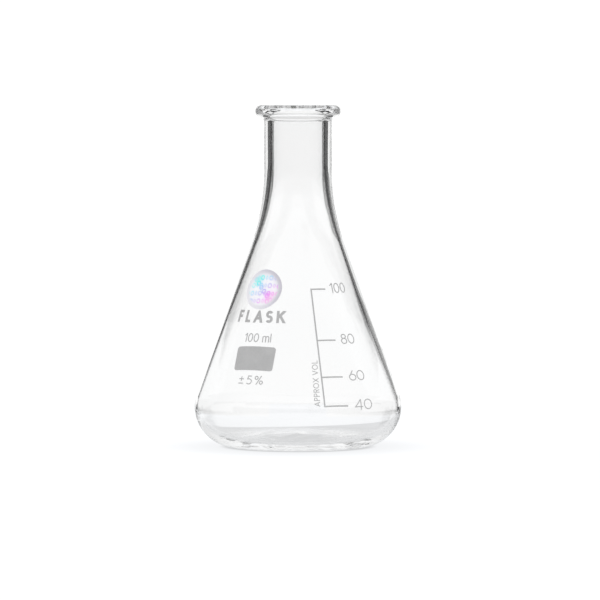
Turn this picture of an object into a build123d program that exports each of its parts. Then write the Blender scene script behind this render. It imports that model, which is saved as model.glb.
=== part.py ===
from build123d import *
import os
from math import acos, asin, cos, degrees, radians, sin, sqrt, tan

# Erlenmeyer flask, 100 ml, narrow neck with a beaded rim.
# Millimetres, +Z up, base centre at the origin, front of the flask towards -Y.
# Azimuths are degrees around the flask from the front (-Y) towards +X.

# ---- glass vessel, outside ------------------------------------------------
overall_height = 105.6
heel_radius = 12.4               # big round heel between wall and base
heel_centre_radius = 19.55       # body radius is this plus the heel radius
cone_half_angle = 20.0
neck_outer_radius = 10.5
shoulder_radius = 66.0           # concave sweep from cone into neck
bead_radius = 1.9
bead_centre_radius = 11.3
bead_fillet = 1.5                # under the bead, where it runs into the neck

# ---- glass vessel, inside -------------------------------------------------
wall = 1.25
neck_bore_radius = 8.1
floor_height = 2.0               # glass thickness at the edge of the floor
floor_crown_height = 2.8         # inside floor on the axis
inner_heel_radius = 10.4
flare_angle = 40.0               # slope of the mouth where it meets the bead

# ---- base -----------------------------------------------------------------
push_up = 1.0                    # hollow under the base, on the axis
foot_ring_inner_radius = 17.0

# ---- thin layers on the wall: fired print and seal ------------------------
enamel_thickness = 0.05
adhesive_thickness = 0.03
film_thickness = 0.05
layer_top_height = 60.0
press_depth = 3.0                # reach of a stamp each side of the wall

fine_stroke = 0.32
rule_stroke = 0.45
caption_stroke = 0.24
bold_stroke = 0.86

# scale: graduation value and its height; the rule joins the first to the last
graduations = {100: 49.55, 80: 34.2, 60: 23.2, 40: 14.6}
rule_middle_azimuth = 13.8
rule_lean = 1.2                  # the foot of the rule sits this much further right
tick_sweep = 13.8                # every tick covers the same angle
numeral_sweep = 17.9             # from the rule to the left edge of every numeral
numeral_rise = 0.25              # the numerals sit slightly above their ticks
numeral_size = 2.9
numeral_gap = 0.3

caption_azimuth = 10.7
caption_middle = 21.4
caption_size = 1.6
caption_gap = 0.27

name_azimuth = -32.1
name_middle = 41.2
name_size = 3.05
name_gap = 0.95

label_size = 2.5
capacity_azimuth = -30.3
capacity_middle = 34.85
capacity_stretch = 0.76          # set narrower than the rest
label_gap = 0.3
tolerance_azimuth = -29.7
tolerance_middle = 22.2
tolerance_stretch = 1.15         # set wider than the rest
tolerance_gap = 0.8

panel_azimuth = -30.0
panel_middle = 28.7
panel_width = 13.4
panel_height = 7.6
panel_corner = 0.9

seal_azimuth = -33.8
seal_middle = 49.4
seal_radius = 6.4

# ---- derived sizes --------------------------------------------------------
half_angle = radians(cone_half_angle)
cone_foot_radius = heel_centre_radius + heel_radius / cos(half_angle)
wall_across = wall / cos(half_angle)


def outer_radius(height):
    """Outside radius of the straight cone at a height."""
    return cone_foot_radius - (height - heel_radius) * tan(half_angle)


def outer_height(radius):
    """Height at which the straight cone has an outside radius."""
    return heel_radius + (cone_foot_radius - radius) / tan(half_angle)


# the shoulder arcs touch a neck line and a cone line this far from their corner
shoulder_reach = shoulder_radius * tan(half_angle / 2)
outer_corner = outer_height(neck_outer_radius)
inner_corner = outer_height(neck_bore_radius + wall_across)
neck_foot = outer_corner + shoulder_reach
bore_bottom = inner_corner + shoulder_reach

# ends of the scale
scale_top = max(graduations.values())
scale_foot = min(graduations.values())
rule_middle = (scale_top + scale_foot) / 2

# the bead, its fillet and the flared mouth
bead_centre_height = overall_height - bead_radius
fillet_centre_radius = neck_outer_radius + bead_fillet
bead_start = acos((fillet_centre_radius - bead_centre_radius) / (bead_radius + bead_fillet))
fillet_centre_height = bead_centre_height - (bead_radius + bead_fillet) * sin(bead_start)
flare = radians(flare_angle)
lip_radius = bead_centre_radius - bead_radius * cos(flare)
lip_height = bead_centre_height + bead_radius * sin(flare)
flare_radius = (lip_radius - neck_bore_radius) / (1 - cos(flare))
bore_top = lip_height - flare_radius * sin(flare)

# inside heel
inner_heel_height = floor_height + inner_heel_radius
inner_heel_centre = outer_radius(inner_heel_height) - wall_across - inner_heel_radius / cos(half_angle)

# ---- stroke letters -------------------------------------------------------
# Every letter is one unit tall and stands on y = 0: its width, then its strokes.
# Four numbers are a ring: centre x, centre y, x radius, y radius.
# Five numbers are an arc: centre x, centre y, radius, start angle, arc size.
# A list of points is a bent line. Lines that run past the letter height are
# cut off level when the letter is drawn.
letters = {
    "0": (0.8, [(0, 0.5, 0.4, 0.5)]),
    "1": (0.38, [[(-0.2, 0.76), (0.15, 1.02), (0.15, -0.2)]]),
    "4": (0.78, [[(0.4, 0.26), (-0.36, 0.26), (0.18, 0.99)], [(0.2, 1.2), (0.2, -0.2)]]),
    "5": (0.6, [[(0.26, 1), (-0.16, 1), (-0.22, 0.56)], (-0.03, 0.32, 0.32, -140, 268)]),
    "6": (0.7, [(0, 0.32, 0.35, 0.32), [(-0.26, 0.49), (0.19, 1.2)]]),
    "8": (0.66, [(0, 0.28, 0.33, 0.28), (0, 0.78, 0.26, 0.22)]),
    "±": (0.6, [[(-0.3, 0.62), (0.3, 0.62)], [(0, 0.32), (0, 0.92)], [(-0.3, 0.06), (0.3, 0.06)]]),
    "%": (0.9, [(-0.28, 0.79, 0.17, 0.2), (0.28, 0.21, 0.17, 0.2), [(0.33, 1.2), (-0.33, -0.2)]]),
    "m": (
        1.04,
        [
            [(-0.52, -0.2), (-0.52, 0.7)],
            (-0.26, 0.45, 0.26, 0, 180),
            [(0, 0.45), (0, -0.2)],
            (0.26, 0.45, 0.26, 0, 180),
            [(0.52, 0.45), (0.52, -0.2)],
        ],
    ),
    "l": (0, [[(0, -0.2), (0, 1.2)]]),
    "A": (0.76, [[(-0.456, -0.2), (0, 1), (0.456, -0.2)], [(-0.26, 0.32), (0.26, 0.32)]]),
    "F": (0.5, [[(-0.22, -0.2), (-0.22, 1), (0.28, 1)], [(-0.22, 0.5), (0.2, 0.5)]]),
    "K": (
        0.62,
        [
            [(-0.26, -0.2), (-0.26, 1.2)],
            [(0.48, 1.2), (-0.24, 0.42)],
            [(-0.04, 0.63), (0.47, -0.2)],
        ],
    ),
    "L": (0.5, [[(-0.22, 1.2), (-0.22, 0), (0.28, 0)]]),
    "O": (0.9, [(0, 0.5, 0.45, 0.5)]),
    "P": (
        0.5,
        [
            [(-0.24, -0.2), (-0.24, 1.2)],
            [(-0.26, 1), (0, 1)],
            (0, 0.74, 0.26, -90, 180),
            [(0, 0.48), (-0.25, 0.48)],
        ],
    ),
    "R": (
        0.52,
        [
            [(-0.24, -0.2), (-0.24, 1.2)],
            [(-0.26, 1), (0, 1)],
            (0, 0.74, 0.26, -90, 180),
            [(0, 0.48), (-0.25, 0.48)],
            [(0.03, 0.5), (0.35, -0.2)],
        ],
    ),
    "S": (0.52, [(0, 0.75, 0.25, 30, 240), (0, 0.25, 0.25, -150, 240)]),
    "V": (0.72, [[(-0.432, 1.2), (0, 0), (0.432, 1.2)]]),
    "X": (0.64, [[(-0.448, 1.2), (0.448, -0.2)], [(0.448, 1.2), (-0.448, -0.2)]]),
    " ": (0.15, []),
}


def wall_plane(azimuth, height, upwards=False):
    """Plane touching the outside of the cone; text on it runs right, or up the slope."""
    turn = radians(azimuth)
    radius = outer_radius(height)
    right = (cos(turn), sin(turn), 0)
    up_slope = (-sin(half_angle) * sin(turn), sin(half_angle) * cos(turn), cos(half_angle))
    return Plane(
        origin=(radius * sin(turn), -radius * cos(turn), height),
        x_dir=up_slope if upwards else right,
        z_dir=(cos(half_angle) * sin(turn), -cos(half_angle) * cos(turn), sin(half_angle)),
    )


def around(distance, height):
    """Azimuth covered by a distance along the wall at a height."""
    return degrees(distance / outer_radius(height))


def rule_azimuth(height):
    """Azimuth of the leaning scale rule at a height."""
    down = (rule_middle - height) / (scale_top - scale_foot)
    return rule_middle_azimuth + around(down * rule_lean, height)


def row_width(text, size, line_width, gap):
    """Length of a row of letters, with one gap to every letter."""
    return sum(letters[character][0] * size + line_width + gap for character in text)


def letter_places(text, size, line_width, gap):
    """Each letter of a text with the distance of its middle from the text's middle."""
    places = []
    cursor = -row_width(text, size, line_width, gap) / 2
    for character in text:
        width = row_width(character, size, line_width, gap)
        places.append((character, cursor + width / 2))
        cursor += width
    return [(character, place) for character, place in places if character != " "]


def printed_letter(character, place, size, line_width, stretch=1.0):
    """Fired enamel of one letter, middle of the letter on the origin of its plane."""
    across = size * stretch
    strokes = letters[character][1]
    rings = [stroke for stroke in strokes if len(stroke) == 4 and isinstance(stroke, tuple)]
    with BuildPart() as mark:
        with BuildSketch(place):
            for x, y, x_radius, y_radius in rings:
                with Locations((x * across, (y - 0.5) * size)):
                    Ellipse(x_radius * across + line_width / 2, y_radius * size + line_width / 2)
            for x, y, x_radius, y_radius in rings:
                with Locations((x * across, (y - 0.5) * size)):
                    Ellipse(
                        x_radius * across - line_width / 2,
                        y_radius * size - line_width / 2,
                        mode=Mode.SUBTRACT,
                    )
            if len(strokes) > len(rings):
                with BuildLine():
                    for stroke in strokes:
                        if isinstance(stroke, list):
                            Polyline([(x * across, (y - 0.5) * size) for x, y in stroke])
                        elif len(stroke) == 5:
                            x, y, radius, start, sweep = stroke
                            EllipticalCenterArc(
                                (x * across, (y - 0.5) * size),
                                radius * across,
                                radius * size,
                                start_angle=start,
                                arc_size=sweep,
                            )
                trace(line_width=line_width)
            Rectangle(2 * across, size + line_width, mode=Mode.INTERSECT)
        extrude(amount=press_depth, both=True)
        add(enamel, mode=Mode.INTERSECT)
    return mark.part


def printed_row(text, azimuth, middle, size, line_width, gap, stretch=1.0):
    """Fired enamel of a text running around the cone."""
    row = []
    for character, offset in letter_places(text, size * stretch, line_width, gap):
        place = wall_plane(azimuth + around(offset, middle), middle)
        row.append(printed_letter(character, place, size, line_width, stretch))
    return row


def printed_numeral(value):
    """Fired enamel of one number of the scale, widened with the wall like its tick."""
    text = str(value)
    height = graduations[value]
    stretch = outer_radius(height) / outer_radius(graduations[80])
    width = row_width(text, numeral_size * stretch, fine_stroke, numeral_gap)
    azimuth = rule_azimuth(height) + numeral_sweep + around(width / 2, height)
    middle = height + numeral_rise
    return printed_row(text, azimuth, middle, numeral_size, fine_stroke, numeral_gap, stretch)


def wall_layer(inner, outer):
    """Thin body of revolution between two distances outside the heel and cone."""
    heel_foot = heel_centre_radius + heel_radius
    top = outer_radius(layer_top_height)
    slope = (cos(half_angle), sin(half_angle))
    with BuildPart() as layer:
        with BuildSketch(Plane.XZ):
            with BuildLine():
                heel_in = CenterArc((heel_centre_radius, heel_radius), heel_radius + inner, 0, cone_half_angle)
                heel_out = CenterArc((heel_centre_radius, heel_radius), heel_radius + outer, 0, cone_half_angle)
                cone_in = Line(heel_in @ 1, (top + inner * slope[0], layer_top_height + inner * slope[1]))
                cone_out = Line(heel_out @ 1, (top + outer * slope[0], layer_top_height + outer * slope[1]))
                Line((heel_foot + inner, heel_radius), (heel_foot + outer, heel_radius))
                Line(cone_in @ 1, cone_out @ 1)
            make_face()
        revolve(axis=Axis.Z)
    return layer.part


enamel = wall_layer(0, enamel_thickness)

# ---- the vessel: one blown piece of borosilicate glass --------------------
with BuildPart() as glass_vessel:
    with BuildSketch(Plane.XZ):
        with BuildLine():
            hollow = TangentArc((0, push_up), (foot_ring_inner_radius, 0), tangent=(1, 0))
            Line(hollow @ 1, (heel_centre_radius, 0))
            heel = CenterArc((heel_centre_radius, heel_radius), heel_radius, -90, 90 + cone_half_angle)
            shoulder = CenterArc(
                (neck_outer_radius + shoulder_radius, neck_foot),
                shoulder_radius,
                180,
                cone_half_angle,
            )
            Line(heel @ 1, shoulder @ 1)
            under_bead = CenterArc(
                (fillet_centre_radius, fillet_centre_height),
                bead_fillet,
                180,
                -degrees(bead_start),
            )
            Line(shoulder @ 0, under_bead @ 0)
            bead = CenterArc(
                (bead_centre_radius, bead_centre_height),
                bead_radius,
                -degrees(bead_start),
                degrees(bead_start) + 180 - flare_angle,
            )
            mouth = CenterArc(
                (neck_bore_radius + flare_radius, bore_top),
                flare_radius,
                180,
                -flare_angle,
            )
            inner_shoulder = CenterArc(
                (neck_bore_radius + shoulder_radius, bore_bottom),
                shoulder_radius,
                180,
                cone_half_angle,
            )
            Line(mouth @ 0, inner_shoulder @ 0)
            inner_heel = CenterArc(
                (inner_heel_centre, inner_heel_height),
                inner_heel_radius,
                -90,
                90 + cone_half_angle,
            )
            Line(inner_shoulder @ 1, inner_heel @ 1)
            inside_floor = TangentArc((0, floor_crown_height), inner_heel @ 0, tangent=(1, 0))
            Line((0, push_up), (0, floor_crown_height))
        make_face()
    revolve(axis=Axis.Z)
glass_vessel.part.label = "glass_vessel"

# ---- fired enamel: the scale ----------------------------------------------
with BuildPart() as scale_rule:
    rule_half = (scale_top - scale_foot) / 2 / cos(half_angle) + rule_stroke / 2
    with BuildSketch(wall_plane(rule_middle_azimuth, rule_middle)):
        with BuildLine():
            Line((-rule_lean / 2, rule_half), (rule_lean / 2, -rule_half))
        trace(line_width=rule_stroke)
    for height in graduations.values():
        tick_half = outer_radius(height) * radians(tick_sweep) / 2
        with BuildSketch(wall_plane(rule_azimuth(height) + tick_sweep / 2, height)):
            with BuildLine():
                Line((-tick_half, 0), (tick_half, 0))
            trace(line_width=rule_stroke)
    extrude(amount=press_depth, both=True)
    add(enamel, mode=Mode.INTERSECT)
scale_rule.part.label = "scale_rule"

with BuildPart() as numeral_100:
    add(printed_numeral(100))
numeral_100.part.label = "numeral_100"

with BuildPart() as numeral_80:
    add(printed_numeral(80))
numeral_80.part.label = "numeral_80"

with BuildPart() as numeral_60:
    add(printed_numeral(60))
numeral_60.part.label = "numeral_60"

with BuildPart() as numeral_40:
    add(printed_numeral(40))
numeral_40.part.label = "numeral_40"

# the caption reads upwards, alongside the rule
with BuildPart() as scale_caption:
    for character, offset in letter_places("APPROX VOL", caption_size, caption_stroke, caption_gap):
        height = caption_middle + offset * cos(half_angle)
        place = wall_plane(caption_azimuth, height, upwards=True)
        add(printed_letter(character, place, caption_size, caption_stroke))
scale_caption.part.label = "scale_caption"

# ---- fired enamel: name, capacity, writing panel, tolerance ---------------
with BuildPart() as name_mark:
    add(printed_row("FLASK", name_azimuth, name_middle, name_size, bold_stroke, name_gap))
name_mark.part.label = "name_mark"

with BuildPart() as capacity_mark:
    row = printed_row(
        "100 ml",
        capacity_azimuth,
        capacity_middle,
        label_size,
        fine_stroke,
        label_gap,
        capacity_stretch,
    )
    add(row)
capacity_mark.part.label = "capacity_mark"

with BuildPart() as marking_panel:
    with BuildSketch(wall_plane(panel_azimuth, panel_middle)):
        RectangleRounded(panel_width, panel_height, panel_corner)
    extrude(amount=press_depth, both=True)
    add(enamel, mode=Mode.INTERSECT)
marking_panel.part.label = "marking_panel"

with BuildPart() as tolerance_mark:
    row = printed_row(
        "±5%",
        tolerance_azimuth,
        tolerance_middle,
        label_size,
        fine_stroke,
        tolerance_gap,
        tolerance_stretch,
    )
    add(row)
tolerance_mark.part.label = "tolerance_mark"

# ---- round seal: adhesive coat and film -----------------------------------
# The disc is round once wrapped, so its flat outline is a little narrower.
seal_wrap_radius = outer_radius(seal_middle) * sin(seal_radius / outer_radius(seal_middle))

with BuildPart() as seal_adhesive:
    with BuildSketch(wall_plane(seal_azimuth, seal_middle)):
        Ellipse(seal_wrap_radius, seal_radius)
    extrude(amount=press_depth, both=True)
    add(wall_layer(0, adhesive_thickness), mode=Mode.INTERSECT)
seal_adhesive.part.label = "seal_adhesive"

with BuildPart() as seal_film:
    with BuildSketch(wall_plane(seal_azimuth, seal_middle)):
        Ellipse(seal_wrap_radius, seal_radius)
    extrude(amount=press_depth, both=True)
    add(wall_layer(adhesive_thickness, adhesive_thickness + film_thickness), mode=Mode.INTERSECT)
seal_film.part.label = "seal_film"

# ---- one STEP file per piece ----------------------------------------------
os.makedirs("parts", exist_ok=True)
export_step(glass_vessel.part, "parts/glass_vessel.step")
export_step(scale_rule.part, "parts/scale_rule.step")
export_step(numeral_100.part, "parts/numeral_100.step")
export_step(numeral_80.part, "parts/numeral_80.step")
export_step(numeral_60.part, "parts/numeral_60.step")
export_step(numeral_40.part, "parts/numeral_40.step")
export_step(scale_caption.part, "parts/scale_caption.step")
export_step(name_mark.part, "parts/name_mark.step")
export_step(capacity_mark.part, "parts/capacity_mark.step")
export_step(marking_panel.part, "parts/marking_panel.step")
export_step(tolerance_mark.part, "parts/tolerance_mark.step")
export_step(seal_adhesive.part, "parts/seal_adhesive.step")
export_step(seal_film.part, "parts/seal_film.step")
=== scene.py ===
import math

import bpy
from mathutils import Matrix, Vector


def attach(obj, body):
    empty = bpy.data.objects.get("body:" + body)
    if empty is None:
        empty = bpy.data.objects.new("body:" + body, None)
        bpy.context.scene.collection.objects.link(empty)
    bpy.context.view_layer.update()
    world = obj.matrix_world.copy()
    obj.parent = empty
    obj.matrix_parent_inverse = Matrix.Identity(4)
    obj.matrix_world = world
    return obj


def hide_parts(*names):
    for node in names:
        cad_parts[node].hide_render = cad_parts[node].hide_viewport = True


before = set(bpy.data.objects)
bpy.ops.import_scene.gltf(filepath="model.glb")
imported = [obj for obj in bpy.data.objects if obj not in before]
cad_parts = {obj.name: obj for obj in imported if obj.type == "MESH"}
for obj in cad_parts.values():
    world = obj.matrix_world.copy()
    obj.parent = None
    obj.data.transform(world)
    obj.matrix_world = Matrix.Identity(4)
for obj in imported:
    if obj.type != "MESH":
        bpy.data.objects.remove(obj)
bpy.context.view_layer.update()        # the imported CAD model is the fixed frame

MM = 0.001
TAU = 2 * math.pi
DEGREE = math.radians(1)

# ---------------------------------------------------------------- sizes, mm
# These are the CAD model's, but for WALL. The CAD wall is an even 1.25; here WALL_KEYS varies it.
HEIGHT = 105.6
HEEL_RADIUS, HEEL_CENTRE = 12.4, 19.55
HALF_ANGLE = math.radians(20.0)
NECK_RADIUS, BORE_RADIUS, SHOULDER_RADIUS = 10.5, 8.1, 66.0
BEAD_RADIUS, BEAD_CENTRE, BEAD_FILLET = 1.9, 11.3, 1.5
WALL, FLOOR, FLOOR_CROWN, INNER_HEEL_RADIUS = 1.1, 2.0, 2.8, 10.4
FLARE = math.radians(40.0)
PUSH_UP, FOOT_INNER = 1.0, 17.0

CONE_FOOT = HEEL_CENTRE + HEEL_RADIUS / math.cos(HALF_ANGLE)
WALL_ACROSS = WALL / math.cos(HALF_ANGLE)

# ---------------------------------------------------------------- the lathe mesh
TURNS = 288                       # columns round the axis
# mm between the points of the outline
DOME_STEP, ARC_STEP, LINE_STEP = 0.5, 0.35, 0.9
BEAD_STEP, MOUTH_STEP = 0.12, 0.25


def outer_cone(z):
    """Outside radius of the straight cone at a height."""
    return CONE_FOOT - (z - HEEL_RADIUS) * math.tan(HALF_ANGLE)


def cone_height(radius):
    """Height at which the straight cone has a radius."""
    return HEEL_RADIUS + (CONE_FOOT - radius) / math.tan(HALF_ANGLE)


def share(value, none, full):
    """How far a value has come from none, 0, to full, 1."""
    return min(1.0, max(0.0, (value - none) / (full - none)))


def arc(cx, cz, radius, start, end, step=ARC_STEP):
    """Points of an arc in the (radius, height) plane, angles in degrees."""
    count = max(3, math.ceil(radius * math.radians(abs(end - start)) / step))
    angles = [math.radians(start + (end - start) * i / count) for i in range(count + 1)]
    return [(cx + radius * math.cos(a), cz + radius * math.sin(a)) for a in angles]


def line(a, b):
    """Points between two points, ends left out."""
    count = max(1, math.ceil(math.dist(a, b) / LINE_STEP))
    return [(a[0] + (b[0] - a[0]) * i / count, a[1] + (b[1] - a[1]) * i / count) for i in range(1, count)]


def soft_dome(rim, centre_height, rim_height):
    """A shallow dome from the axis out to a radius, level at both ends."""
    count = math.ceil(rim / DOME_STEP)
    points = []
    for i in range(1, count):
        r = rim * i / count
        swell = 0.5 + 0.5 * math.cos(math.pi * r / rim)
        points.append((r, rim_height + (centre_height - rim_height) * swell))
    return points


def glass_profile():
    """Outside and inside outline, each from the axis of the base up to the rim."""
    reach = SHOULDER_RADIUS * math.tan(HALF_ANGLE / 2)
    neck_foot = cone_height(NECK_RADIUS) + reach
    bore_bottom = cone_height(BORE_RADIUS + WALL_ACROSS) + reach
    bead_z = HEIGHT - BEAD_RADIUS
    fillet_r = NECK_RADIUS + BEAD_FILLET
    bead_start = math.acos((fillet_r - BEAD_CENTRE) / (BEAD_RADIUS + BEAD_FILLET))
    fillet_z = bead_z - (BEAD_RADIUS + BEAD_FILLET) * math.sin(bead_start)
    lip_r = BEAD_CENTRE - BEAD_RADIUS * math.cos(FLARE)
    lip_z = bead_z + BEAD_RADIUS * math.sin(FLARE)
    flare_r = (lip_r - BORE_RADIUS) / (1 - math.cos(FLARE))
    bore_top = lip_z - flare_r * math.sin(FLARE)
    half, start, flare = (math.degrees(angle) for angle in (HALF_ANGLE, bead_start, FLARE))

    outside = soft_dome(FOOT_INNER, PUSH_UP, 0.0)
    outside += [(FOOT_INNER, 0.0)] + line((FOOT_INNER, 0.0), (HEEL_CENTRE, 0.0))
    outside += arc(HEEL_CENTRE, HEEL_RADIUS, HEEL_RADIUS, -90, half)
    shoulder = arc(NECK_RADIUS + SHOULDER_RADIUS, neck_foot, SHOULDER_RADIUS, 180 + half, 180)
    outside += line(outside[-1], shoulder[0]) + shoulder
    under = arc(fillet_r, fillet_z, BEAD_FILLET, 180, 180 - start, BEAD_STEP)
    outside += line(outside[-1], under[0]) + under
    outside += arc(BEAD_CENTRE, bead_z, BEAD_RADIUS, -start, 180 - flare, BEAD_STEP)[1:]

    heel_z = FLOOR + INNER_HEEL_RADIUS
    heel_r = outer_cone(heel_z) - WALL_ACROSS - INNER_HEEL_RADIUS / math.cos(HALF_ANGLE)
    inside = soft_dome(heel_r, FLOOR_CROWN, FLOOR)
    inside += arc(heel_r, heel_z, INNER_HEEL_RADIUS, -90, half)
    shoulder = arc(BORE_RADIUS + SHOULDER_RADIUS, bore_bottom, SHOULDER_RADIUS, 180 + half, 180)
    inside += line(inside[-1], shoulder[0]) + shoulder
    mouth = arc(BORE_RADIUS + flare_r, bore_top, flare_r, 180, 180 - flare, MOUTH_STEP)
    inside += line(inside[-1], mouth[0]) + mouth[:-1]
    return outside, inside


# The blown wall isn't even. In mm: height, mean thickness beyond WALL, and how far the
# inside is pushed towards -X.
WALL_KEYS = [
    (0.0, 0.0, 0.0),
    (8.0, -0.05, 0.05),
    (14.0, -0.15, 0.10),
    (20.0, -0.20, 0.14),
    (33.0, 0.12, 0.30),
    (45.0, 0.45, 0.36),
    (58.0, 0.38, 0.08),
    (72.0, 0.10, 0.0),
    (120.0, 0.0, 0.0),
]
THICKER, PUSHED = 1, 2            # columns of WALL_KEYS
ROUNDING = (-6.0, -4.0, -2.0, 0.0, 2.0, 4.0, 6.0)       # heights to average over, mm

LOBE_DEPTH, RING_DEPTH = 0.035, 0.006                   # of the inside wall, mm
SAG_DEPTH, FOLD_DEPTH, MARK_DEPTH = 0.10, 0.16, 0.13    # of the inside floor, mm
FOLDS_X, FOLDS_Y, FOLDS_SPREAD = -9.0, -13.0, 60.0      # middle in mm, spread in square mm
MARK_X, MARK_Y, MARK_SIZE = 16.5, -8.0, 2.6             # mm
MARK_WINDING = 2.6                # radians per mm


def wall_row(z, column):
    """Value of a column of WALL_KEYS at a height, straight from row to row."""
    for low, high in zip(WALL_KEYS, WALL_KEYS[1:]):
        if z <= high[0]:
            return low[column] + (high[column] - low[column]) * share(z, low[0], high[0])
    return WALL_KEYS[-1][column]


def wall_key(z, column):
    """The same with the corners between the rows rounded off."""
    return sum(wall_row(z + step, column) for step in ROUNDING) / len(ROUNDING)


def inner_waviness(z, turn):
    """How far the inside of the blown wall strays, in mm: slow lobes and faint rings."""
    fade = share(z, 3.0, 15.0) * share(z, 101.0, 91.0)
    lobes = 0.5 * math.sin(2 * turn + 0.6)
    lobes += 0.3 * math.sin(3 * turn + 0.05 * z)
    lobes += 0.2 * math.sin(5 * turn + 2.1)
    rings = math.sin(z * 0.35 + 0.7 * math.sin(turn))
    rings += 0.6 * math.sin(z * 0.81 + 1.3 * math.cos(turn + 1.0))
    return fade * (LOBE_DEPTH * lobes + RING_DEPTH * rings)


def floor_relief(x, y):
    """Unevenness of the inside floor, in mm: slow sags, folds, and a mark where the glass was gathered."""
    fade = share(math.hypot(x, y), 23.0, 17.0)
    sags = 0.5 * math.sin(0.42 * x + 0.9) * math.cos(0.31 * y) + 0.3 * math.sin(0.83 * x - 0.55 * y)
    near_folds = math.exp(-((x - FOLDS_X) ** 2 + (y - FOLDS_Y) ** 2) / FOLDS_SPREAD)
    folds = 0.35 * math.sin(1.25 * x + 0.7 * math.sin(0.9 * y)) * near_folds
    dx, dy = x - MARK_X, y - MARK_Y
    span = math.hypot(dx, dy)
    swirl = math.sin(MARK_WINDING * span + math.atan2(dy, dx)) * math.exp(-(span / MARK_SIZE) ** 2)
    return fade * (SAG_DEPTH * sags + FOLD_DEPTH * folds + MARK_DEPTH * swirl)


def link(name, data):
    item = bpy.data.objects.new(name, data)
    bpy.context.scene.collection.objects.link(item)
    return item


def smooth_mesh(name, vertices, faces):
    mesh = bpy.data.meshes.new(name)
    mesh.from_pydata(vertices, [], faces)
    mesh.polygons.foreach_set("use_smooth", [True] * len(mesh.polygons))
    return mesh


def ring_faces(ring, columns):
    """The faces between a ring of vertices and the next one up."""
    faces = []
    for i in range(columns):
        j = (i + 1) % columns
        a, b = ring * columns, (ring + 1) * columns
        faces.append((a + i, a + j, b + j, b + i))
    return faces


def lathe_glass():
    """The vessel: the CAD outline turned round the axis, with the inside uneven."""
    outside, inside = glass_profile()
    loop = outside + inside[::-1]
    vertices = []
    for k, (r, z) in enumerate(loop):
        for i in range(TURNS):
            turn = TAU * i / TURNS
            radius, shift, lift = r, 0.0, 0.0
            if k >= len(outside):
                thicker = wall_key(z, THICKER) * share(z, 4.0, 12.0)
                radius += inner_waviness(z, turn) - thicker / math.cos(HALF_ANGLE)
                shift = wall_key(z, PUSHED)
                if z < HEEL_RADIUS:
                    lift = floor_relief(r * math.sin(turn), -r * math.cos(turn))
            x, y = radius * math.sin(turn) - shift, -radius * math.cos(turn)
            vertices.append((x * MM, y * MM, (z + lift) * MM))
    faces = []
    for k in range(len(loop) - 1):
        faces += ring_faces(k, TURNS)
    bottom, top = len(vertices), len(vertices) + 1
    vertices += [(0, 0, PUSH_UP * MM), (0, 0, (FLOOR_CROWN + floor_relief(0, 0)) * MM)]
    last = (len(loop) - 1) * TURNS
    for i in range(TURNS):
        j = (i + 1) % TURNS
        faces.append((bottom, j, i))
        faces.append((top, last + i, last + j))
    mesh = smooth_mesh("glass_body", vertices, faces)
    mesh.validate()
    return link("glass_body", mesh)


# ---------------------------------------------------------------- printed layers
PRINT_RADIUS = 25.0               # mm, about the wall's radius where the prints are
EDGE_LIMIT = 0.8                  # mm, longest edge left in a layer
MOST_HALVINGS = 8
SUNK = -0.006                     # mm off the wall: a layer's inner face, just inside the glass
PRINT_TOP, COAT_TOP, FILM_TOP = 0.05, 0.03, 0.08        # mm off the wall


def to_wall(point):
    """A point as turn round the axis, way up the wall from the foot of the cone, distance off the wall."""
    x, y, z = (value / MM for value in point)
    turn = math.atan2(x, -y)
    dr, dz = math.hypot(x, y) - HEEL_CENTRE, z - HEEL_RADIUS
    climb = math.atan2(dz, dr)
    if climb < HALF_ANGLE:
        return turn, HEEL_RADIUS * (climb - HALF_ANGLE), math.hypot(dr, dz) - HEEL_RADIUS
    along = dz * math.cos(HALF_ANGLE) - dr * math.sin(HALF_ANGLE)
    off = dr * math.cos(HALF_ANGLE) + dz * math.sin(HALF_ANGLE) - HEEL_RADIUS
    return turn, along, off


def from_wall(turn, along, off):
    """The point for to_wall's three numbers."""
    tilt = HALF_ANGLE + min(0.0, along) / HEEL_RADIUS
    rise = max(0.0, along)
    radius = HEEL_CENTRE + (HEEL_RADIUS + off) * math.cos(tilt) - rise * math.sin(HALF_ANGLE)
    z = HEEL_RADIUS + (HEEL_RADIUS + off) * math.sin(tilt) + rise * math.cos(HALF_ANGLE)
    return radius * math.sin(turn) * MM, -radius * math.cos(turn) * MM, z * MM


def split_long_edges(points, triangles):
    """Halve every edge over the limit until none is left; points are to_wall's numbers."""
    def length(i, j):
        a, b = points[i], points[j]
        return math.hypot((a[0] - b[0]) * PRINT_RADIUS, a[1] - b[1])

    for _ in range(MOST_HALVINGS):
        middles, result = {}, []

        def middle(i, j):
            key = (min(i, j), max(i, j))
            if length(i, j) <= EDGE_LIMIT:
                return None
            if key not in middles:
                middles[key] = len(points)
                points.append(tuple((p + q) / 2 for p, q in zip(points[i], points[j])))
            return middles[key]

        for a, b, c in triangles:
            ab, bc, ca = middle(a, b), middle(b, c), middle(c, a)
            # turn the triangle so that the whole edges come last
            for _turn in range(2):
                if ab is None or (ca is not None and bc is None):
                    a, b, c, ab, bc, ca = b, c, a, bc, ca, ab
            if ab is None:
                result.append((a, b, c))
            elif bc is None:
                result += [(a, ab, c), (ab, b, c)]
            elif ca is None:
                result += [(a, ab, c), (ab, bc, c), (ab, b, bc)]
            else:
                result += [(a, ab, ca), (ab, b, bc), (ca, bc, c), (ab, bc, ca)]
        triangles = result
        if not middles:
            break
    return triangles


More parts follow.
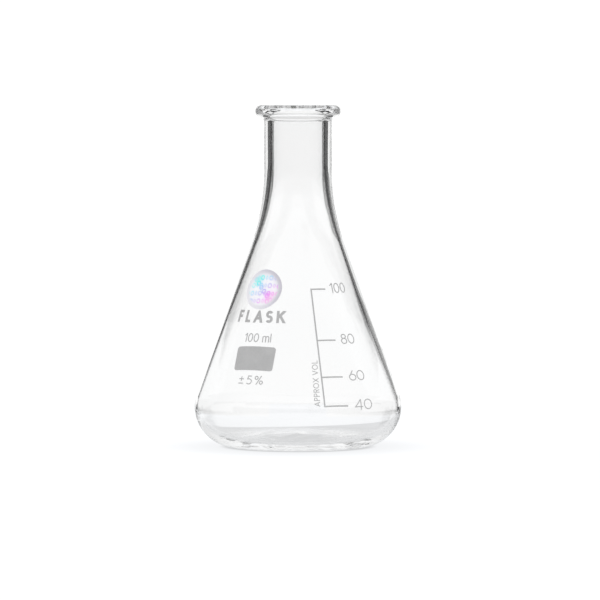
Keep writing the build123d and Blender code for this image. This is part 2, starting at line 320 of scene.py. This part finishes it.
def wrapped_layer(node_name, piece_name, inner, outer, material):
    """A printed or stuck-on layer of the CAD model, with its faces following the round wall."""
    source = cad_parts[node_name]
    mesh = source.data
    mesh.calc_loop_triangles()
    seat = source.matrix_world
    points = [to_wall(seat @ vertex.co) for vertex in mesh.vertices]
    level = 0.5 * (min(p[2] for p in points) + max(p[2] for p in points))
    points = [(turn, along, outer if off > level else inner) for turn, along, off in points]
    triangles = split_long_edges(points, [tuple(t.vertices) for t in mesh.loop_triangles])
    made = bpy.data.meshes.new(piece_name)
    made.from_pydata([from_wall(*point) for point in points], [], triangles)
    made.validate()
    made.materials.append(material)
    item = link(piece_name, made)
    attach(item, "root")
    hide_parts(node_name)
    return item


# ---------------------------------------------------------------- materials
def grey(level):
    return level, level, level


class Nodes:
    """Small helper that strings together the nodes of one tree."""

    def __init__(self, tree, clear=False):
        self.tree = tree
        if clear:
            tree.nodes.clear()

    def add(self, kind, **settings):
        made = self.tree.nodes.new(kind)
        for key, value in settings.items():
            setattr(made, key, value)
        return made

    def join(self, source, target):
        self.tree.links.new(source, target)

    def math(self, operation, a, b=0.0):
        made = self.add("ShaderNodeMath", operation=operation)
        for socket, value in zip(made.inputs, (a, b)):
            if isinstance(value, (int, float)):
                socket.default_value = value
            else:
                self.join(value, socket)
        return made.outputs[0]

    def plus(self, a, b):
        return self.math("ADD", a, b)

    def minus(self, a, b):
        return self.math("SUBTRACT", a, b)

    def times(self, a, b):
        return self.math("MULTIPLY", a, b)

    def absolute(self, a):
        return self.math("ABSOLUTE", a)

    def distance(self, a, b):
        """Straight distance from two distances at right angles."""
        return self.math("SQRT", self.plus(self.math("POWER", a, 2.0), self.math("POWER", b, 2.0)))

    def ramp(self, value, start, end, low=0.0, high=1.0, kind="SMOOTHSTEP"):
        made = self.add("ShaderNodeMapRange", interpolation_type=kind)
        self.join(value, made.inputs["Value"])
        for name, number in (("From Min", start), ("From Max", end), ("To Min", low), ("To Max", high)):
            made.inputs[name].default_value = number
        return made.outputs[0]

    def stroke(self, value, middle, thin, wide):
        """A soft line where a value is near a middle."""
        return self.ramp(self.absolute(self.minus(value, middle)), thin, wide, 1.0, 0.0)

    def place(self):
        """Position on the piece, in metres, which for the flask's pieces is also the place on the flask."""
        return self.add("ShaderNodeTexCoord").outputs["Object"]

    def parts(self):
        """Position on the piece as its three numbers."""
        split = self.add("ShaderNodeSeparateXYZ")
        self.join(self.place(), split.inputs[0])
        return [split.outputs[axis] for axis in "XYZ"]

    def noise(self, scale, detail=2.0, roughness=0.5):
        made = self.add("ShaderNodeTexNoise")
        self.join(self.place(), made.inputs["Vector"])
        for name, number in (("Scale", scale), ("Detail", detail), ("Roughness", roughness)):
            made.inputs[name].default_value = number
        return made.outputs["Fac"]

    def colours(self, value, *stops):
        """Colour ramp from (position, colour) pairs."""
        made = self.add("ShaderNodeValToRGB")
        self.join(value, made.inputs["Fac"])
        ramp = made.color_ramp
        while len(ramp.elements) < len(stops):
            ramp.elements.new(0.5)
        for element, (position, colour) in zip(ramp.elements, stops):
            element.position = position
            element.color = (*colour, 1)
        return made.outputs["Color"]

    def mix(self, factor, a, b):
        made = self.add("ShaderNodeMix", data_type="RGBA")
        self.join(factor, made.inputs["Factor"])
        self.join(a, made.inputs["A"])
        self.join(b, made.inputs["B"])
        return made.outputs["Result"]

    def bump(self, height, distance, strength, shader):
        """Surface relief, a distance in metres deep."""
        made = self.add("ShaderNodeBump")
        made.inputs["Strength"].default_value = strength
        made.inputs["Distance"].default_value = distance
        self.join(height, made.inputs["Height"])
        self.join(made.outputs["Normal"], shader.inputs["Normal"])

    def along(self, direction, start=0.0):
        """Distance along a direction, in mm, from a start."""
        made = self.add("ShaderNodeVectorMath", operation="DOT_PRODUCT")
        self.join(self.place(), made.inputs[0])
        made.inputs[1].default_value = [value / MM for value in direction]
        return self.minus(made.outputs["Value"], start)

    def glow(self, level, colour=grey(1), kind="Emission", output="Material"):
        """End the tree in a plain light of this level."""
        light = self.add("ShaderNode" + kind)
        light.inputs["Color"].default_value = (*colour, 1)
        self.join(level, light.inputs["Strength"])
        out = self.add("ShaderNodeOutput" + output)
        self.join(light.outputs[0], out.inputs["Surface"])


def new_material(name):
    material = bpy.data.materials.new(name)
    material.use_nodes = True
    tree = material.node_tree
    return material, Nodes(tree), tree.nodes["Principled BSDF"]


FINE_RELIEF, FIGURE_RELIEF = 0.00001, 0.00002           # m
GLASS_IOR = 1.474                 # of borosilicate glass


def glass_material():
    """Clear borosilicate glass: a faint cool tint that comes and goes, and slow ripples from blowing."""
    material, nodes, shader = new_material("clear_glass")
    shader.inputs["IOR"].default_value = GLASS_IOR
    shader.inputs["Transmission Weight"].default_value = 1.0
    tint = nodes.colours(nodes.noise(38.0, 3.0), (0.3, (0.993, 0.996, 0.996)), (0.7, grey(1.0)))
    nodes.join(tint, shader.inputs["Base Color"])
    nodes.join(nodes.ramp(nodes.noise(90.0, 3.0), 0.45, 0.8, 0.0, 0.008), shader.inputs["Roughness"])
    nodes.bump(nodes.noise(28.0, 1.0), FINE_RELIEF, 0.3, shader)
    return material


def enamel_material():
    """Fired enamel: off-white, matt, slightly blotchy, with a fine grain and a few thin spots."""
    material, nodes, shader = new_material("fired_enamel")
    blotches = nodes.noise(150.0, 3.0, 0.6)
    base = nodes.colours(blotches, (0.25, grey(0.66)), (0.5, grey(0.71)), (0.72, grey(0.78)))
    grain = nodes.noise(2600.0, 2.0, 0.7)
    speckled = nodes.colours(grain, (0.3, grey(0.60)), (0.7, grey(0.78)))
    thin_spots = nodes.ramp(nodes.noise(420.0, 2.0), 0.35, 0.75, 0.15, 0.55)
    nodes.join(nodes.mix(thin_spots, base, speckled), shader.inputs["Base Color"])
    nodes.join(nodes.ramp(blotches, 0.3, 0.7, 0.52, 0.72), shader.inputs["Roughness"])
    nodes.bump(grain, FINE_RELIEF, 0.5, shader)
    return material


# The seal's middle, and the two directions across it: round the wall and up the wall.
SEAL_AZIMUTH, SEAL_HEIGHT = math.radians(-33.8), 49.4
SEAL_RIGHT = (math.cos(SEAL_AZIMUTH), math.sin(SEAL_AZIMUTH), 0.0)
SEAL_UP = (
    -math.sin(HALF_ANGLE) * math.sin(SEAL_AZIMUTH),
    math.sin(HALF_ANGLE) * math.cos(SEAL_AZIMUTH),
    math.cos(HALF_ANGLE),
)
ROW_PITCH, CELL_PITCH, LINK_PITCH = 2.5, 1.5, 2.6       # of the seal's figure, mm
FIGURE_RADIUS = (4.9, 5.5)        # mm, where the figure fades out
RIM_RADIUS = (3.6, 6.3)           # mm, where the white middle turns into the rim
# two painted glints on the film, where its rainbow is made stronger as if it caught the light
PAINTED_GLINT_SPOTS = [(-2.2, 3.3, 2.6), (3.0, -2.5, 3.0)]      # right, up and radius, mm
RIM_GREYS = [(0.0, (0.93, 0.92, 0.97)), (0.45, (0.80, 0.79, 0.86)), (1.0, (0.66, 0.64, 0.71))]
RAINBOW = [
    (0.0, (0.60, 0.80, 0.90)),
    (0.18, (0.18, 0.92, 0.86)),
    (0.36, (0.34, 0.66, 0.98)),
    (0.55, (0.50, 0.46, 0.93)),
    (0.74, (0.88, 0.36, 0.95)),
    (0.88, (0.97, 0.50, 0.88)),
    (1.0, (0.86, 0.72, 0.86)),
]


def seal_figure(nodes, right, up, down):
    """Rows that are in turn a small ring and a small lozenge, and a chain of rings across them."""
    level = nodes.absolute(nodes.minus(nodes.math("FRACT", nodes.math("DIVIDE", up, ROW_PITCH)), 0.5))
    step = nodes.math("DIVIDE", right, CELL_PITCH)
    cell = nodes.absolute(nodes.minus(nodes.math("FRACT", step), 0.5))
    odd = nodes.math("GREATER_THAN", nodes.math("FRACT", nodes.math("DIVIDE", step, 2.0)), 0.5)
    oval = nodes.distance(nodes.times(cell, 1.3), nodes.times(level, 1.9))
    rings = nodes.stroke(oval, 0.48, 0.10, 0.20)
    slant = nodes.plus(nodes.times(cell, 2.4), nodes.times(level, 2.6))
    lozenges = nodes.stroke(slant, 0.62, 0.14, 0.30)
    rows = nodes.plus(nodes.times(rings, odd), nodes.times(lozenges, nodes.minus(1.0, odd)))
    # the chain runs from the upper left to the lower right
    across = nodes.plus(right, up)
    link_way = nodes.minus(nodes.math("FRACT", nodes.math("DIVIDE", down, LINK_PITCH)), 0.5)
    link_long = nodes.times(nodes.absolute(link_way), 1.84)
    link_wide = nodes.times(nodes.absolute(across), 0.707)
    chain = nodes.stroke(nodes.distance(link_long, link_wide), 0.62, 0.10, 0.26)
    return nodes.math("MAXIMUM", nodes.times(rows, 0.75), chain)


def film_material():
    """Holographic film: a pale rim, rows of tiny rings and lozenges in rainbow colours, two painted glints,
    and a faint painted glow.
    """
    material, nodes, shader = new_material("seal_film")
    right = nodes.along(SEAL_RIGHT)
    middle = -outer_cone(SEAL_HEIGHT) * math.sin(HALF_ANGLE) + SEAL_HEIGHT * math.cos(HALF_ANGLE)
    up = nodes.along(SEAL_UP, middle)
    wander = nodes.times(nodes.minus(nodes.noise(260.0, 2.0), 0.5), 1.6)
    down = nodes.plus(nodes.minus(right, up), wander)   # towards the lower right
    radius = nodes.distance(nodes.absolute(right), nodes.absolute(up))
    inside = nodes.ramp(radius, *FIGURE_RADIUS, 1.0, 0.0)
    figure = nodes.times(seal_figure(nodes, right, up, down), inside)
    # two painted glints, where the film's rainbow is made stronger as if it caught the light
    painted_glints = []
    for at_right, at_up, reach in PAINTED_GLINT_SPOTS:
        off_right = nodes.absolute(nodes.minus(right, at_right))
        off_up = nodes.absolute(nodes.minus(up, at_up))
        painted_glints.append(nodes.ramp(nodes.distance(off_right, off_up), reach * 0.25, reach, 1.0, 0.0))
    # flare: the painted glints, kept inside the figure's edge
    flare = nodes.times(nodes.math("MAXIMUM", *painted_glints), inside)
    strong = nodes.math("MINIMUM", nodes.plus(figure, nodes.times(flare, 0.55)), 1.0)
    rainbow = nodes.colours(nodes.ramp(down, -7.5, 7.5, 0.0, 1.0, "LINEAR"), *RAINBOW)
    # the rim is a pale grey, darker towards the upper right
    lean = nodes.ramp(nodes.plus(right, nodes.times(up, 0.4)), -5.0, 6.5)
    rim = nodes.colours(lean, *RIM_GREYS)
    white = nodes.colours(nodes.noise(300.0, 2.0), (0.3, (0.93, 0.94, 1.0)), (0.7, (0.99, 0.97, 1.0)))
    pale = nodes.mix(nodes.ramp(radius, *RIM_RADIUS), white, rim)
    colour = nodes.mix(strong, pale, rainbow)
    nodes.join(colour, shader.inputs["Base Color"])
    # painted light: the film glows faintly in its own colours, a little more inside the rim, though it is
    # no lamp
    nodes.join(colour, shader.inputs["Emission Color"])
    nodes.join(nodes.ramp(inside, 0.0, 1.0, 0.24, 0.34), shader.inputs["Emission Strength"])
    nodes.join(nodes.ramp(figure, 0.0, 1.0, 0.22, 0.38), shader.inputs["Roughness"])
    nodes.bump(figure, FIGURE_RELIEF, 0.4, shader)
    return material


def adhesive_material():
    """Clear pressure-sensitive coat, slightly milky and uneven."""
    material, nodes, shader = new_material("seal_adhesive")
    cloud = nodes.noise(500.0, 3.0, 0.6)
    milky = nodes.colours(cloud, (0.3, (0.86, 0.86, 0.84)), (0.7, (0.95, 0.95, 0.93)))
    nodes.join(milky, shader.inputs["Base Color"])
    nodes.join(nodes.ramp(cloud, 0.3, 0.7, 0.25, 0.45), shader.inputs["Roughness"])
    nodes.bump(cloud, FINE_RELIEF, 0.5, shader)
    return material


# ---------------------------------------------------------------- pieces
glass = lathe_glass()
glass.data.materials.append(glass_material())
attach(glass, "root")
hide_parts("glass_vessel")

enamel = enamel_material()
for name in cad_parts:
    if name not in ("glass_vessel", "seal_adhesive", "seal_film"):
        wrapped_layer(name, "print_" + name, SUNK, PRINT_TOP, enamel)
wrapped_layer("seal_adhesive", "seal_coat", SUNK, COAT_TOP, adhesive_material())
wrapped_layer("seal_film", "seal_disc", COAT_TOP, FILM_TOP, film_material())

# ---------------------------------------------------------------- camera
CAMERA_AT, LOOK_AT = (0.0, -1.6, 0.1226), (0.00064, 0.0, 0.04536)   # m
LENS, SENSOR = 311.0, 36.0        # mm
CLIP_END = 20.0                   # m
GLASS_BOUNCES = 160

scene = bpy.context.scene
camera_data = bpy.data.cameras.new("camera")
camera_data.lens = LENS
camera_data.sensor_width = SENSOR
camera_data.clip_end = CLIP_END
camera = link("camera", camera_data)
camera.location = CAMERA_AT
aim = Vector(LOOK_AT) - camera.location
camera.rotation_mode = "QUATERNION"
camera.rotation_quaternion = aim.to_track_quat("-Z", "Y")
scene.camera = camera
scene.view_settings.view_transform = "Standard"
scene.cycles.max_bounces = GLASS_BOUNCES
scene.cycles.transmission_bounces = GLASS_BOUNCES
scene.cycles.glossy_bounces = GLASS_BOUNCES

# ---------------------------------------------------------------- stage
# The stage turns with the camera. Its pieces' own coordinates have the flask's axis in the middle and
# +Y away from the camera. Lengths here are in metres, and light levels have 1 as plain white.
WHITE = 1.08                      # behind the flask, as the camera sees it
AMBIENT = 0.65                    # for the printed marks
GLASS_WHITE = 1.03                # behind the flask, as the glass sees it
DARK, GLOW = 0.05, 0.08           # beside the flask, and nearer the white
PANEL_GREY = 0.33
OVERHEAD = 0.78                   # the walls beside the flask above the table, and the ceiling
TOP_LIGHT = 0.73                  # the most there is anywhere, higher up than the white
TOP_DIMMING = 0.7                 # share of OVERHEAD left right overhead

# angles seen from the middle of the dome, in degrees
WHITE_HALF_WIDTH, WHITE_SOFTNESS = 25.5, 1.4
HIGH_CUT, PANEL_CUT = 6.5, 13.0   # taken off the white's half width, high up and by the panel

DOME_RADIUS = 50.0
DOME_HEIGHT = 0.05                # of its middle: half way up the flask
DOME_ROWS, DOME_COLUMNS = 48, 96

TABLE_SIZE, TABLE_BACK = 0.25, 0.20                     # to each side and the front, and to the back
TABLE_DROP = 0.00002              # keeps the table's top off the foot ring
# a cool tint over the whole table, which shows where its painted shadow darkens it
TABLE_TINT = (0.975, 0.985, 1)
# Each is a start, an end and the value at both. The first three go by the radius from the axis.
SHADOW = (0.020, 0.050, 0.92, 1.05)
CONTACT_SHADOW = (0.0205, 0.0250, -0.30, 0.0)
# painted shadow under and round the flask, as the glass sees the table: darkest at the middle
GLASS_SEEN_SHADOW = (0.018, 0.034, 0.66, 0.78)                 # as the glass sees it
TABLE_ENDS = (0.060, 0.066, 1.0, 0.05)                  # to each side, and the share of light at each
WIDER_NEAR = (0.040, 0.050, 0.018, 0.0)                 # way back, and what it adds to the ends

# the line behind the flask where the painted shadow's grey ends: its distance, half its softness and its
# slope
GREY_BACK, GREY_SOFTNESS, GREY_SLOPE = 0.027, 0.0015, 0.3

CARD_FACES = 12
CARDS = [                         # name, side, distance, height, start and stop in degrees, light at both
    ("card_left", -1, 0.15, 0.066, 41.0, 110.0, 0.88, 0.78),
    ("card_right", 1, 0.15, 0.066, 47.0, 110.0, 0.88, 0.78),
    ("low_card_left", -1, 0.07, 0.013, 8.0, 44.0, 1.03, 0.90),
    ("low_card_right", 1, 0.07, 0.013, 8.0, 44.0, 1.03, 0.90),
]

rig = link("stage_turn", None)
follow = rig.constraints.new("COPY_ROTATION")
follow.target = camera
follow.use_x = False
follow.use_y = False


def stage_mesh(name, vertices, faces, material):
    mesh = smooth_mesh(name, vertices, faces)
    mesh.materials.append(material)
    item = link(name, mesh)
    item.parent = rig
    return item


def for_glass_only(item):
    """Keep a stage piece out of the camera's direct view, and keep its light off matt surfaces."""
    item.visible_camera = False
    item.visible_diffuse = False
    item.visible_shadow = False


def stage_material(name):
    material = bpy.data.materials.new(name)
    material.use_nodes = True
    return material, Nodes(material.node_tree, clear=True)


def dome_material():
    """What the glass sees round it: white behind the flask, dark at both sides, bright overhead."""
    material, nodes = stage_material("dome")
    x, y, z = nodes.parts()
    angle = nodes.math("ARCTAN2", x, y)                 # round from the back, right of it positive
    side = nodes.absolute(angle)
    climb = nodes.math("ARCSINE", nodes.math("DIVIDE", z, DOME_RADIUS))

    def fade(value, start, end, low=0.0, high=1.0):
        return nodes.ramp(value, start * DEGREE, end * DEGREE, low, high)

    # the white is narrower above the horizon, most of all on the right, where a grey panel stands
    high_cut = fade(climb, 1.5, 6.0, 0.0, HIGH_CUT * DEGREE)
    panel = nodes.times(fade(angle, 0.0, 1.0), fade(climb, 2.8, 5.5))
    cut = nodes.math("MAXIMUM", high_cut, nodes.times(panel, PANEL_CUT * DEGREE))
    past = nodes.minus(side, nodes.minus(WHITE_HALF_WIDTH * DEGREE, cut))
    white = fade(past, -WHITE_SOFTNESS, WHITE_SOFTNESS, GLASS_WHITE - GLOW, 0.0)
    glow = fade(side, 26, 60, GLOW, DARK)
    panel_light = nodes.times(panel, fade(side, 25, 29, PANEL_GREY - GLOW, 0.0))
    panel_light = nodes.times(panel_light, fade(past, -WHITE_SOFTNESS, WHITE_SOFTNESS))
    ceiling = fade(climb, 15, 25, 0.0, OVERHEAD)
    beside = nodes.times(fade(climb, 5, 13), fade(side, 48, 62))
    ceiling = nodes.math("MAXIMUM", ceiling, nodes.times(beside, OVERHEAD))
    ceiling = nodes.times(ceiling, fade(climb, 26, 38, 1.0, TOP_DIMMING))
    level = nodes.plus(nodes.plus(white, glow), nodes.plus(panel_light, ceiling))
    # the white behind the flask fades towards the ceiling
    level = nodes.math("MINIMUM", level, fade(climb, 10, 18, GLASS_WHITE, TOP_LIGHT))
    nodes.glow(level)
    return material


def dome():
    """A big sphere round the studio, for the glass to see."""
    vertices, faces = [], []
    for k in range(DOME_ROWS + 1):
        climb = math.pi * (k / DOME_ROWS - 0.5)
        for i in range(DOME_COLUMNS):
            turn = TAU * i / DOME_COLUMNS
            flat = DOME_RADIUS * math.cos(climb)
            vertices.append((flat * math.sin(turn), flat * math.cos(turn), DOME_RADIUS * math.sin(climb)))
    for k in range(DOME_ROWS):
        faces += ring_faces(k, DOME_COLUMNS)
    item = stage_mesh("dome", vertices, faces, dome_material())
    item.location.z = DOME_HEIGHT
    for_glass_only(item)


def table_material():
    """White table with its own even light, and a painted shadow: darker under the flask and a little round
    it.
    """
    material, nodes = stage_material("table")
    x, y = nodes.parts()[:2]
    length = nodes.add("ShaderNodeVectorMath", operation="LENGTH")
    nodes.join(nodes.place(), length.inputs[0])
    radius = length.outputs["Value"]
    direct = nodes.add("ShaderNodeLightPath").outputs["Is Camera Ray"]
    seen = nodes.plus(nodes.ramp(radius, *SHADOW), nodes.ramp(radius, *CONTACT_SHADOW))
    # seen through the glass, it has a painted shadow: grey as far as a line behind the flask, darker under
    # the flask, and white beyond
    through = nodes.ramp(radius, *GLASS_SEEN_SHADOW)
    behind = nodes.minus(y, nodes.times(x, GREY_SLOPE))
    lit = nodes.ramp(behind, GREY_BACK - GREY_SOFTNESS, GREY_BACK + GREY_SOFTNESS, 0.0, GLASS_WHITE)
    through = nodes.math("MAXIMUM", through, lit)
    # the table narrows away from the camera, and the room beyond its ends is dark
    sideways = nodes.minus(nodes.absolute(x), nodes.ramp(y, *WIDER_NEAR))
    through = nodes.times(through, nodes.ramp(sideways, *TABLE_ENDS))
    level = nodes.plus(nodes.times(seen, direct), nodes.times(through, nodes.minus(1.0, direct)))
    nodes.glow(level, TABLE_TINT)
    return material


def table():
    """The table top, with a straight back edge behind the flask."""
    corners = [(-TABLE_SIZE, -TABLE_SIZE, 0), (TABLE_SIZE, -TABLE_SIZE, 0)]
    corners += [(TABLE_SIZE, TABLE_BACK, 0), (-TABLE_SIZE, TABLE_BACK, 0)]
    item = stage_mesh("table", corners, [(0, 1, 2, 3)], table_material())
    item.location.z = -TABLE_DROP


def card(name, side, distance, height, start, stop, level_start, level_stop):
    """A low pale card standing on the table round part of the flask, for the glass to see."""
    material, nodes = stage_material(name)
    x, y = nodes.parts()[:2]
    round_from_back = nodes.absolute(nodes.math("ARCTAN2", x, y))
    nodes.glow(nodes.ramp(round_from_back, start * DEGREE, stop * DEGREE, level_start, level_stop))
    vertices, faces = [], []
    for k in range(CARD_FACES + 1):
        turn = side * math.radians(start + (stop - start) * k / CARD_FACES)
        right, back = distance * math.sin(turn), distance * math.cos(turn)
        vertices += [(right, back, 0), (right, back, height)]
    for k in range(CARD_FACES):
        faces.append((2 * k, 2 * k + 2, 2 * k + 3, 2 * k + 1))
    for_glass_only(stage_mesh(name, vertices, faces, material))


def studio_world():
    """White where the camera looks past the table, and even soft light for the printed marks."""
    world = bpy.data.worlds.new("studio")
    world.use_nodes = True
    nodes = Nodes(world.node_tree, clear=True)
    direct = nodes.add("ShaderNodeLightPath").outputs["Is Camera Ray"]
    level = nodes.ramp(direct, 0.0, 1.0, AMBIENT, WHITE, "LINEAR")
    nodes.glow(level, kind="Background", output="World")
    return world


dome()
table()
for row in CARDS:
    card(*row)
scene.world = studio_world()
